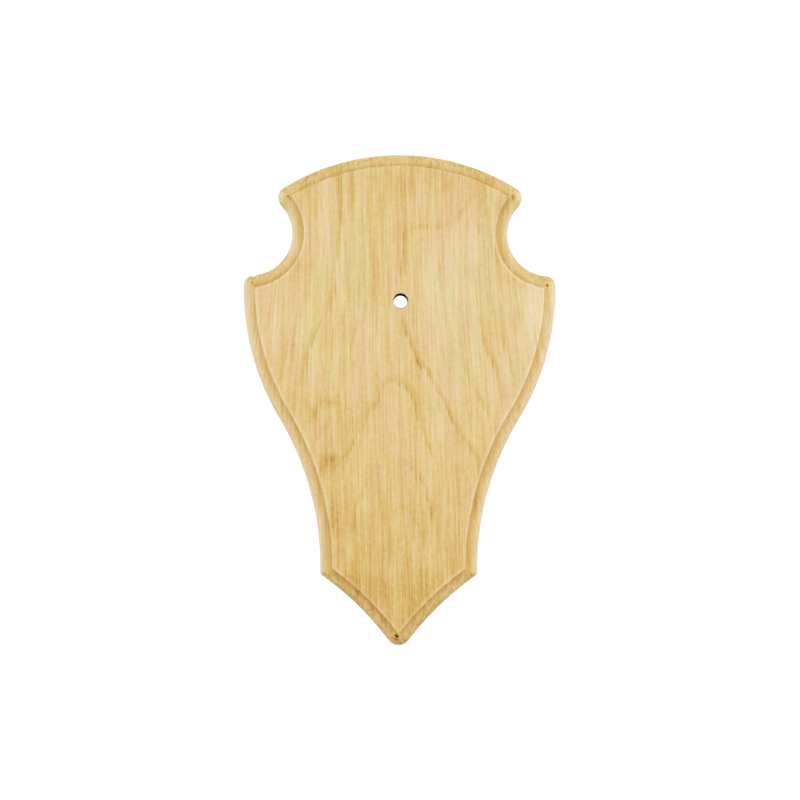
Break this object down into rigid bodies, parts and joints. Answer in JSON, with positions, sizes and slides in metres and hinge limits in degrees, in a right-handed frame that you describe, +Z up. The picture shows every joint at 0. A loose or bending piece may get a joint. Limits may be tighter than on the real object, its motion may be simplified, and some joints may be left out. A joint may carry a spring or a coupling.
{
  "type": "antler mounting plaque",
  "caption": "Oak shield board with a moulded front edge, a bolt hole for an antler mount and a keyhole slot in its flat back for hanging on a wall.",
  "frame": {"origin": "centre of the back face, on the centre line and half-way between the top and the tip", "axes": "+Z up as the plaque hangs, +Y out of the back face towards the wall, so the moulded front faces -Y, and +X to the right as seen from the front"},
  "size_m": [0.1528, 0.018, 0.24],
  "materials": {
    "oak": "flat-sawn light oak, sanded, with open vertical pores and a thin satin clear coat; routed edge a little darker on end grain, with small scorch marks in the moulding's inner corners"
  },
  "bodies": {
    "root": {"oak_board": "oak"}
  },
  "joints": []
}
